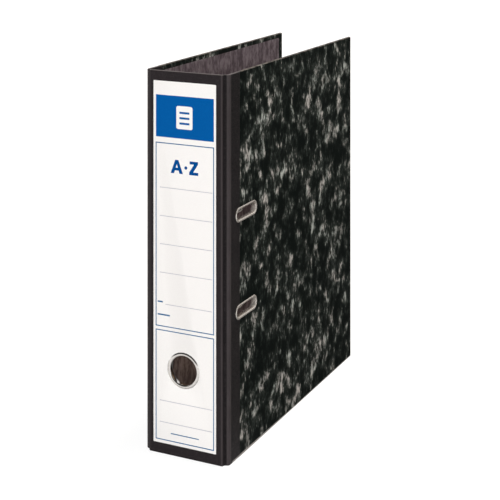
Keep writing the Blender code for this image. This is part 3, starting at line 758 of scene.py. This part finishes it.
def finger_ring():
    """Rolled nickel ring round the finger hole, bevelled outside, and the washer it is clinched over."""
    low, high = node_box("finger_ring")
    middle = (low + high) / 2
    path = round_path(middle.x, middle.z, 120)
    outer, bore = (high.x - low.x) / 2, RING_BORE
    face, tail = low.y, high.y
    crest = 13.3
    ring = [(crest - (crest - bore) * math.cos(a), face + 1.0 - math.sin(a))
            for a in np.linspace(0, 1.57, 11)]
    bevel = ((1.5, 0.0), (1.3, 0.03), (1.15, 0.09), (1.0, 0.17), (0.85, 0.26), (0.5, 0.46), (0.15, 0.66),
             (0.05, 0.74))
    ring += [(outer - inward, face + depth) for inward, depth in bevel]
    ring += [(outer - 0.05, FACE - 0.02), (bore + 0.5, FACE - 0.02), (bore + 0.5, tail - 0.35),
             (bore + 1.25, tail - 0.3), (bore + 1.3, tail - 0.1), (bore + 0.9, tail),
             (bore + 0.2, tail - 0.12), (bore, tail - 0.5)]
    piece("finger_hole_ring", ring_of(ring, path, "Y"), POLISHED, "spine", ["finger_ring"])
    near, far = node_box("finger_ring_collar")
    washer = [(RING_SEAT, near.y), (outer, near.y), (outer, near.y + 0.15), (outer - 0.3, far.y),
              (RING_SEAT + 0.4, far.y), (RING_SEAT, far.y - 0.15)]
    piece("finger_hole_washer", ring_of(washer, path, "Y"), NICKEL, "spine",
          ["finger_ring_collar"])


# label

def printed(name, shapes, mat):
    """Thin printed areas on the label: a list of (outline, holes) in X and Z."""
    face = node_box("spine_label")[0].y
    verts, faces = [], []
    for outline, holes in shapes:
        v, f = slab(outline, holes, face - 0.03, face + 0.02, "Y", 1e-3, 1)
        faces += [tuple(i + len(verts) for i in loop) for loop in f]
        verts += v
    piece(name, (verts, faces), mat, "spine")


def rect(x0, x1, z0, z1):
    return [(x0, z0), (x1, z0), (x1, z1), (x0, z1)]


def frame_line(x0, x1, z0, z1, width):
    """A rectangular frame: its outline, and its inside as a hole."""
    return rect(x0, x1, z0, z1), [rect(x0 + width, x1 - width, z0 + width, z1 - width)]


def label():
    """The label sheet and its printing: head block, frames, rules, index letters and plain dashes."""
    low, high = node_box("spine_label")
    ring = node_middle("finger_ring")
    hole = circle(ring.x, ring.z, RING_SEAT, 72)
    outline = corner_rect(low.x, high.x, low.z, high.z, 0.5, 3)
    piece("spine_label_sheet", slab(outline, [hole], low.y, high.y + 0.03, "Y", 0.04, 2), LABEL,
          "spine", ["spine_label"])
    centre = (low.x + high.x) / 2
    left, right = centre - 26.6, centre + 27.0
    head = (263.0, 297.9)
    body, foot = (105.7, 258.5), (11.7, 103.1)
    line, rule = 0.8, 0.6

    page = corner_rect(centre - 7.5, centre + 7.5, 270.8, 289.8, 1.6, 5)
    bars = [(rect(centre - 4.6, centre + 4.6, z, z + 1.7), []) for z in (274.6, 279.0, 283.4)]
    printed("label_header_block", [(rect(left, right, *head), [page])], BLUE)
    printed("label_header_bars", bars, BLUE)
    printed("label_frame_lines", [frame_line(left - 0.3, right + 0.2, *body, line),
                                  frame_line(left - 0.3, right + 0.2, *foot, line)], LINE_BLUE)
    rules = [220.9, 197.3, 173.9, 150.3, 44.2, 26.4]
    lines = [(rect(left + 3.6, right - 1.4, z, z + rule), []) for z in rules]
    lines += [(rect(left + 8.9, right - 1.4, 124.2, 124.2 + rule), [])]
    printed("label_rules", lines, LINE_GREY)

    foot_z, head_z, pen = 233.9, 245.1, 2.4
    letter_a = [(-13.3, foot_z), (-9.1, head_z), (-6.1, head_z), (-1.9, foot_z), (-5.0, foot_z),
                (-5.9, foot_z + 2.5), (-9.3, foot_z + 2.5), (-10.2, foot_z)]
    counter = [(-8.6, foot_z + 4.8), (-6.6, foot_z + 4.8), (-7.6, foot_z + 7.8)]
    letter_z = [(4.3, head_z), (12.0, head_z), (12.0, head_z - 2.1), (7.6, foot_z + pen),
                (12.2, foot_z + pen), (12.2, foot_z), (3.9, foot_z), (3.9, foot_z + 2.1),
                (8.3, head_z - pen), (4.3, head_z - pen)]
    dot = circle(0.8, foot_z + 5.4, 1.35, 24)
    printed("label_index_letters", [(letter_a, [counter]), (letter_z, []), (dot, [])], DEEP_BLUE)
    marks = [rect(left + 1.6, left + 6.4, 125.6, 126.8), rect(left + 1.6, left + 13.0, 115.0, 116.2),
             rect(centre - 12.6, centre + 13.4, 18.0, 18.8)]
    printed("label_field_marks", [(mark, []) for mark in marks], LINE_BLUE)


# mechanism

def strap(z):
    """A pressed loop over the shaft, with both feet in the plate."""
    outer, inner = 3.2, 2.3
    foot = 0.4 + LINING_X - SHAFT.x
    over = arc(0, 0, outer, 180, 0, 24)
    under = arc(0, 0, inner, 0, 180, 24)
    loop = [(SHAFT.x + up, SHAFT.y + along) for along, up in
            [(-outer, foot)] + over + [(outer, foot), (inner, foot)] + under + [(-inner, foot)]]
    return solid("part", slab(loop, [], z[0], z[1], "Z", 0.22))


def lug(low_run):
    """An upright ear of the plate with the hole for the lever's pivot pin."""
    height = PIVOT.x - LINING_X
    top = [(PIVOT.x + 3.2 * math.cos(math.radians(a)), PIVOT.z + 3.2 * math.sin(math.radians(a)))
           for a in range(-90, 91, 10)]
    loop = [(rise(0.4), PIVOT.z - 3.2)] + top
    loop += [(rise(0.35 * height), PIVOT.z + 4.0), (rise(3.0), PIVOT.z + 6.0), (rise(0.4), PIVOT.z + 7.0)]
    hole = circle(PIVOT.x, PIVOT.z, 1.8, 28)
    return solid("part", slab(loop, [hole], run(low_run), run(low_run + 1.0), "Y", 0.2))


def base_plate():
    """Pressed plate with turned-up edges, two shaft straps and two lever lugs."""
    low, high = node_box("base_plate")
    top = rise(0.85)
    spots = [(node_middle("mechanism_rivet_%d" % number), 1.9) for number in range(1, 5)]
    spots += [(node_middle(label + "_post"), 2.0) for label in PAIR]
    holes = [circle(spot.y, spot.z, radius, 32) for spot, radius in spots]
    outline = corner_rect(low.y, high.y, low.z, high.z, 6.0, 8)
    plate = solid("mechanism_plate", slab(outline, holes, low.x, top, "X", 0.2))
    parts = [strap(z) for z in ((147.0, 152.0), (190.5, 195.5))] + [lug(28.3), lug(43.9)]
    for edge in (low.y, high.y - 0.8):
        outline = corner_rect(low.z + 7, high.z - 7, low.x + 0.3, rise(2.6), 1.0)
        outline = [(x, z) for z, x in outline]
        parts.append(solid("part", slab(outline, [], edge, edge + 0.8, "Y", 0.25)))
    combine(plate, parts, "UNION")
    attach(dress(plate, STEEL, ["base_plate"]), "back_cover")


def posts_and_rivets():
    for label in PAIR:
        y, z = node_middle(label + "_post").yz
        tip = node_box(label + "_post")[1].x
        profile = [(0.0, rise(0.3)), (1.7, rise(0.3)), (1.7, rise(0.9)), (4.1, rise(0.9)), (4.2, rise(1.1)),
                   (4.2, rise(1.6)), (4.0, rise(1.85)), (3.1, rise(2.1)), (2.65, rise(2.6)), (2.5, rise(3.3)),
                   (2.5, tip - 0.5), (2.42, tip - 0.22), (2.2, tip - 0.03), (1.95, tip), (1.75, tip - 0.1),
                   (0.0, tip - 0.95)]
        piece(label + "_pin_post", turned(profile, y, z, "X", 56), NICKEL, "back_cover",
              [label + "_post"])
    for number in range(1, 5):
        node = "mechanism_rivet_%d" % number
        y, z = node_middle(node).yz
        head = node_box(node)[0].x
        profile = [(0.0, head), (1.2, head + 0.02), (2.2, head + 0.08), (3.0, head + 0.19),
                   (3.6, head + 0.34), (3.95, head + 0.52), (3.9, head + 0.65), (1.6, head + 0.65),
                   (1.6, rise(0.9)), (2.8, rise(0.9)), (3.0, rise(1.05)), (2.9, rise(1.3)),
                   (2.3, rise(1.5)), (1.2, rise(1.58)), (0.8, rise(1.35)), (0.0, rise(1.3))]
        piece("plate_rivet_%d" % number, turned(profile, y, z, "X", 48), NICKEL, "back_cover",
              [node])


def arch_wire():
    """Two arches, their shaft and the cranked web, bent from one wire."""
    post_y = node_middle("lower_post").y
    levels = [node_middle(label + "_post").z for label in PAIR]
    meet = node_box("lower_post")[1].x + 0.1
    radius = (post_y - SHAFT.y) / 2
    arm, web_x = 22.0, rise(3.4)
    web_y = SHAFT.y + math.sqrt(arm ** 2 - (web_x - SHAFT.x) ** 2)
    web_z = (127.0, 142.0)

    def loop(z):
        return [Vector((meet + radius * math.sin(math.pi * k / 40),
                        SHAFT.y + radius + radius * math.cos(math.pi * k / 40), z)) for k in range(41)]

    corners = [(meet, SHAFT.y, levels[0]), (SHAFT.x, SHAFT.y, levels[0]), (SHAFT.x, SHAFT.y, web_z[0]),
               (web_x, web_y, web_z[0]), (web_x, web_y, web_z[1]), (SHAFT.x, SHAFT.y, web_z[1]),
               (SHAFT.x, SHAFT.y, levels[1]), (meet, SHAFT.y, levels[1])]
    middle = fillet(corners, [3.2] * 6, 12)
    points = loop(levels[0])[:-1] + middle + loop(levels[1])[::-1][1:]
    tip = [(-0.75, 0.05), (-0.06, 1.5), (0.0, 1.72), (0.14, 1.92)]
    first = [Vector((meet + up, post_y, levels[0])) for up, _ in tip]
    last = [Vector((meet + up, post_y, levels[1])) for up, _ in tip][::-1]
    points[0] = Vector((meet + 0.4, post_y, levels[0]))
    points[-1] = Vector((meet + 0.4, post_y, levels[1]))
    radii = [r for _, r in tip] + [WIRE] * len(points) + [r for _, r in tip][::-1]
    piece("arch_wire", tube(first + points + last, radii, 28), NICKEL, "arches", ["arch_bow"])


def torsion_spring():
    """Closed coil round the shaft, with a leg running up from its top end."""
    coil, turns, low, high, wire = 3.55, 7, 172.5, 187.0, 0.6

    def point(up, back, z):
        return Vector((rise(up), run(back), z))

    shaft_rise, shaft_run = SHAFT.x - LINING_X, SHAFT.y - FACE
    points = [point(1.6, 31.0, low), point(2.5, 27.6, low), point(shaft_rise - coil, 23.4, low)]
    steps = turns * 32 + 24
    sweep = 2 * math.pi * (turns + 0.75)
    for k in range(steps):
        t = k / steps
        angle = -math.pi / 2 - sweep * t
        points.append(point(shaft_rise + coil * math.sin(angle), shaft_run + coil * math.cos(angle),
                            low + (high - low) * t))
    leg = fillet([point(shaft_rise + 0.4, shaft_run + coil, high), point(18.2, 19.5, high + 0.8),
                  point(18.6, 19.45, 204.0)], [1.8], 8)
    points += leg
    spring = dress(solid("torsion_spring", tube(points, [wire] * len(points), 14)), STEEL,
                   ["bow_spring"])
    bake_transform(spring)


def lever_half_width(reach):
    """Half the lever's width at a distance down from its pivot, eased between a few widths."""
    knots = ((0.0, 6.9), (18.0, 6.9), (30.0, 5.6), (48.0, 5.2), (60.0, 6.6), (80.0, 7.6))
    for (a, wa), (b, wb) in zip(knots, knots[1:]):
        if reach <= b:
            t = (reach - a) / (b - a)
            return wa + (wb - wa) * t * t * (3 - 2 * t)
    return knots[-1][1]


def dense(points, step):
    """The same closed outline with extra points on its long edges."""
    result = []
    for a, b in zip(points, points[1:] + points[:1]):
        count = max(1, int(math.dist(a, b) / step))
        result += [(a[0] + (b[0] - a[0]) * k / count, a[1] + (b[1] - a[1]) * k / count) for k in range(count)]
    return result


def lever():
    """Channel pressing on the pivot pin, with ears for the roller pin and a curled thumb tab."""
    roller_u, roller_v = PIVOT.z - ROLLER.z, ROLLER.x - PIVOT.x
    middle = PIVOT.y

    def place(u, v):
        return (PIVOT.x + v, PIVOT.z - u)

    flange = arc(0, 0, 2.6, 90, 270, 16) + [(7.0, -2.6), (8.4, -3.3), (9.6, -4.8)]
    flange += arc(roller_u, roller_v, 2.1, 170, 350, 12)
    flange += [(16.0, -5.2), (18.0, -4.2), (22.0, -3.4), (28.0, -3.6), (36.0, -3.8), (44.0, -3.8),
               (52.0, -3.4), (58.0, -2.4), (61.0, -1.3), (63.0, -0.2), (63.0, 0.45), (5.6, 0.45), (4.4, 1.6)]
    outline = [place(u, v) for u, v in dense(flange, 2.0)]
    holes = [circle(*place(0, 0), 1.65, 32), circle(*place(roller_u, roller_v), 1.1, 24)]
    near, far = middle - 6.9, middle + 6.9
    under = [(5.6, 0.2), (63.0, 0.2), (67.0, 0.75), (70.0, 1.95), (71.6, 3.3)]
    over = [(71.2, 4.0), (69.4, 2.85), (66.7, 1.6), (63.0, 1.0), (5.6, 1.0)]
    sheet = [place(u, v) for u, v in dense(under + [(71.8, 3.7)] + over, 2.0)]
    body = solid("lift_lever", slab(sheet, [], near, far, "Y", 0.38, 4))
    parts = [solid("part", slab(outline, holes, edge, edge + 1.0, "Y", 0.3, 3)) for edge in (near, far - 1.0)]
    combine(body, parts, "UNION")
    for vert in body.data.vertices:
        reach = PIVOT.z - vert.co.z / MM
        vert.co.y = middle * MM + (vert.co.y - middle * MM) * lever_half_width(reach) / 6.9
    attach(dress(body, NICKEL, ["lever"]), "lever")


def cross_pin(name, node, body, shank):
    """A pin across the lever with a domed head at each end."""
    low, high = node_box(node)
    middle = (low + high) / 2
    head = (high.x - low.x) / 2
    near, far = low.y, high.y
    profile = [(0.0, near), (head * 0.55, near + 0.02), (head * 0.85, near + 0.12), (head, near + 0.35),
               (head, near + 0.66), (shank, near + 0.7), (shank, far - 0.7), (head, far - 0.66),
               (head, far - 0.35), (head * 0.85, far - 0.12), (head * 0.55, far - 0.02), (0.0, far)]
    piece(name, turned(profile, middle.x, middle.z, "Y", 36), NICKEL, body, [node])


def roller():
    low, high = node_box("pressure_roller")
    radius = (high.x - low.x) / 2
    near, far = low.y, high.y
    profile = [(1.25, near + 0.1), (radius - 0.45, near), (radius - 0.12, near + 0.12), (radius, near + 0.45),
               (radius, far - 0.45), (radius - 0.12, far - 0.12), (radius - 0.45, far), (1.25, far - 0.1)]
    piece("web_roller", ring_of(profile, round_path(ROLLER.x, ROLLER.z, 56), "Y"), STEEL,
          "roller", ["pressure_roller"])


def paper_clamp():
    """Moulded bar on the posts with a recessed grip, and its sliding steel lock."""
    low, high = node_box("compressor_bar")
    posts = [node_middle(label + "_post") for label in PAIR]
    holes = [circle(post.y, post.z, 2.8, 40) for post in posts]
    outline = corner_rect(low.y, high.y, low.z, high.z, 4.0, 10)
    bar = solid("paper_clamp_bar", slab(outline, holes, low.x, high.x, "X", 0.7, 5))
    groove = corner_rect(low.y + 2.8, high.y - 2.8, 130.0, 196.0, 2.4, 8)
    cutters = [solid("cutter", slab(groove, [], high.x - 1.4, high.x + 1, "X", 0.3, 3))]
    combine(bar, cutters, "DIFFERENCE")
    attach(dress(bar, PLASTIC, ["compressor_bar"]), "compressor")
    low, high = node_box("compressor_lock")
    y, z = posts[0].yz
    slot = [(b, a) for a, b in slot_loop(z - 1.5, y, 1.9, 2.8)[0]]
    outline = corner_rect(low.y, high.y, low.z, high.z, 2.0, 6)
    plate = solid("paper_clamp_lock", slab(outline, [slot], low.x, low.x + 1.0, "X", 0.18))
    tab = [(low.x + 0.4, high.z - 1.15), (high.x - 0.3, high.z - 1.15), (high.x, high.z - 0.85),
           (high.x, high.z - 0.4), (high.x - 0.3, high.z - 0.1), (low.x + 0.4, high.z - 0.1)]
    grip = solid("part", slab(tab, [], low.y + 1.0, high.y - 1.0, "Y", 0.2))
    combine(plate, [grip], "UNION")
    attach(dress(plate, STEEL, ["compressor_lock"]), "compressor_lock")


boards()
cover_paper("front_marbled_cover", 1, "front_cover", "front_cover_paper")
cover_paper("back_marbled_cover", -1, "back_cover", "back_cover_paper")
hinge_cloth("front_hinge_cloth", 1, SEAM_X, slot_cutters(0.55),
            ["front_cloth_strip"])
hinge_cloth("back_hinge_cloth", -1, -SEAM_X, [ring_cutter(RING_SEAT - 0.05)],
            ["back_cloth_strip", "spine_cloth"])
linings()
slot_rings()
finger_ring()
label()
base_plate()
posts_and_rivets()
arch_wire()
torsion_spring()
lever()
cross_pin("lever_axle", "lever_pivot_pin", "back_cover", 1.5)
cross_pin("roller_axle", "roller_pin", "lever", 1.0)
roller()
paper_clamp()


# stage

def ray(tree, kind):
    """One for a camera or glossy ray, zero for the rest."""
    return tree.nodes.new("ShaderNodeLightPath").outputs["Is %s Ray" % kind]


def floor():
    """A matt floor that looks near white to the camera and in the bright metal, and sends up little light."""
    mesh = bpy.data.meshes.new("studio_floor")
    size = 30.0
    corners = [(-size, -size, 0), (size, -size, 0), (size, size, 0), (-size, size, 0)]
    mesh.from_pydata(corners, [], [(0, 1, 2, 3)])
    t = Tree("pale_floor")
    back = t.add("ShaderNodeSeparateXYZ", 1, Vector=t.place)
    wall = t.times(ray(t.tree, "Glossy"), t.ramp(back, -300.0, 0.0, 1.0, 0.08))
    glow = t.times(t.calc("MAXIMUM", ray(t.tree, "Camera"), wall), 0.86)
    colour = t.mix(ray(t.tree, "Glossy"), (0.24, 0.24, 0.24), (0.02, 0.02, 0.02))
    mesh.materials.append(t.finish(Base_Color=colour, Roughness=0.9, Specular_IOR_Level=0.0,
                                   Emission_Color=(1, 1, 1), Emission_Strength=glow))
    placed("studio_floor", mesh)


def sun(name, come_from, power, spread, colour=(1, 1, 1)):
    """Soft light from a direction; power is what a white surface facing it would send back."""
    lamp = bpy.data.lights.new(name, "SUN")
    lamp.energy = power * math.pi
    lamp.angle = math.radians(spread)
    lamp.color = colour
    obj = placed(name, lamp)
    obj.rotation_euler = Vector(come_from).to_track_quat("Z", "Y").to_euler()
    obj.visible_glossy = False


def inner_glow():
    """Faint warm light that stands for light bounced between the linings."""
    lamp = bpy.data.lights.new("inner_glow", "POINT")
    lamp.energy = 0.052
    lamp.color = (1.0, 0.82, 0.44)
    lamp.shadow_soft_size = 0.02
    obj = placed("inner_glow", lamp)
    obj.location = (0.02, run(90.0) * MM, 0.10)
    obj.visible_glossy = False


def sky(horizon, zenith):
    """White light, stronger near the horizon. Reflections see a low white wall in front, a soft band above
    the sides and back, and darkness elsewhere."""
    world = bpy.data.worlds.new("studio")
    world.use_nodes = True
    tree = world.node_tree
    place = tree.nodes.new("ShaderNodeTexCoord")
    split = tree.nodes.new("ShaderNodeSeparateXYZ")
    tree.links.new(place.outputs["Generated"], split.inputs["Vector"])

    def fade(axis, start, end, low, high):
        node = tree.nodes.new("ShaderNodeMapRange")
        for key, value in (("From Min", start), ("From Max", end), ("To Min", low), ("To Max", high)):
            node.inputs[key].default_value = value
        tree.links.new(split.outputs[axis], node.inputs["Value"])
        return node.outputs["Result"]

    def choose(kind, otherwise, value):
        node = tree.nodes.new("ShaderNodeMix")
        tree.links.new(ray(tree, kind), node.inputs["Factor"])
        tree.links.new(otherwise, node.inputs["A"])
        if isinstance(value, float):
            node.inputs["B"].default_value = value
        else:
            tree.links.new(value, node.inputs["B"])
        return node.outputs["Result"]

    def combined(operation, a, b):
        node = tree.nodes.new("ShaderNodeMath")
        node.operation = operation
        tree.links.new(a, node.inputs[0])
        tree.links.new(b, node.inputs[1])
        return node.outputs["Value"]

    wall = combined("MULTIPLY", fade("Z", 0.02, 0.25, 1.15, 0.08), fade("Y", -0.2, 0.3, 1.0, 0.08))
    canopy = combined("MULTIPLY", fade("Z", 0.15, 0.5, 0.0, 0.95), fade("Y", -0.45, -0.1, 0.0, 1.0))
    canopy = combined("MULTIPLY", canopy, fade("Z", 0.62, 0.75, 1.0, 0.04))
    strength = choose("Glossy", fade("Z", 0.0, 0.6, horizon, zenith), combined("MAXIMUM", wall, canopy))
    strength = choose("Camera", strength, 1.0)
    back = tree.nodes["Background"]
    back.inputs["Color"].default_value = (1, 1, 1, 1)
    tree.links.new(strength, back.inputs["Strength"])
    bpy.context.scene.world = world


def camera():
    """A level camera whose frame is shifted down, which keeps the uprights parallel.

    The shifts hold only where the camera stands here: moved elsewhere, it looks straight ahead.
    """
    stand = Vector((0.51143, FACE * MM - 0.98584, 0.48497))
    data = bpy.data.cameras.new("camera")
    data.sensor_width = 36.0
    data.lens = 97.224
    data.clip_start, data.clip_end = 0.05, 60.0
    obj = placed("camera", data)
    obj.location = stand
    obj.rotation_euler = (math.radians(90), 0, 0.4755)
    mark = placed("camera_stand", None)
    mark.location = stand
    bpy.context.scene.camera = obj
    for side, shift in (("shift_x", 0.12156), ("shift_y", -0.76166)):
        setattr(data, side, shift)
        driver = data.driver_add(side).driver
        away = driver.variables.new()
        away.name = "away"
        away.type = "LOC_DIFF"
        away.targets[0].id = obj
        away.targets[1].id = mark
        driver.expression = "%g if away < 0.001 else 0" % shift


floor()
sun("key", (0.3, -0.9, 0.35), 0.62, 40)
sun("left", (-0.8, -0.6, 0.4), 0.12, 60)
sun("overhead", (0.2, 0.25, 1.0), 0.80, 16, (1.0, 0.88, 0.76))
inner_glow()
sky(0.75, 0.30)
camera()
bpy.context.scene.view_settings.view_transform = "Standard"
